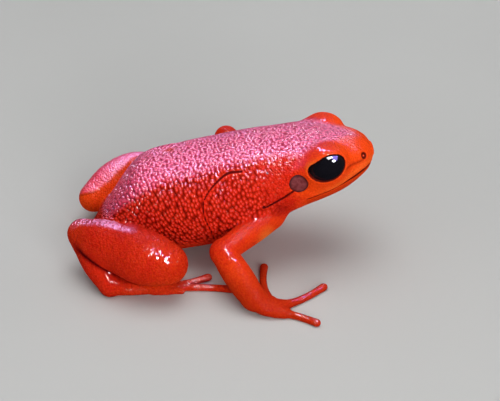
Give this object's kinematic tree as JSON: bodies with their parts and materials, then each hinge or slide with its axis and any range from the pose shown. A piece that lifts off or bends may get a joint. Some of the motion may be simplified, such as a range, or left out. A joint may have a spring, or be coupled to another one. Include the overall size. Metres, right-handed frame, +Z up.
{
  "type": "frog figure",
  "caption": "Life-size model of a small frog crouching with its head raised, legs folded at its sides and both hands spread on the floor.",
  "frame": {"origin": "on the floor, under the middle of the box around the whole frog", "axes": "+X forward to the snout, +Y to the frog's left, +Z up"},
  "size_m": [0.0226, 0.022, 0.01],
  "materials": {
    "skin_back": "wet, finely granular skin",
    "skin_head": "wet, nearly smooth skin",
    "skin_arm": "wet, nearly smooth skin",
    "skin_leg": "wet, finely granular skin",
    "eye": "polished, wet",
    "eardrum": "smooth, slightly dull"
  },
  "bodies": {
    "root": {"torso": "skin_back", "head": "skin_head", "eye_right": "eye", "eye_left": "eye", "eardrum_right": "eardrum", "eardrum_left": "eardrum", "upper_arm_right": "skin_arm", "upper_arm_left": "skin_arm", "forearm_right": "skin_arm", "forearm_left": "skin_arm", "hand_right": "skin_arm", "hand_left": "skin_arm", "thigh_right": "skin_leg", "thigh_left": "skin_leg", "shank_right": "skin_leg", "shank_left": "skin_leg", "tarsus_right": "skin_leg", "tarsus_left": "skin_leg", "foot_right": "skin_leg", "foot_left": "skin_leg"}
  },
  "joints": []
}
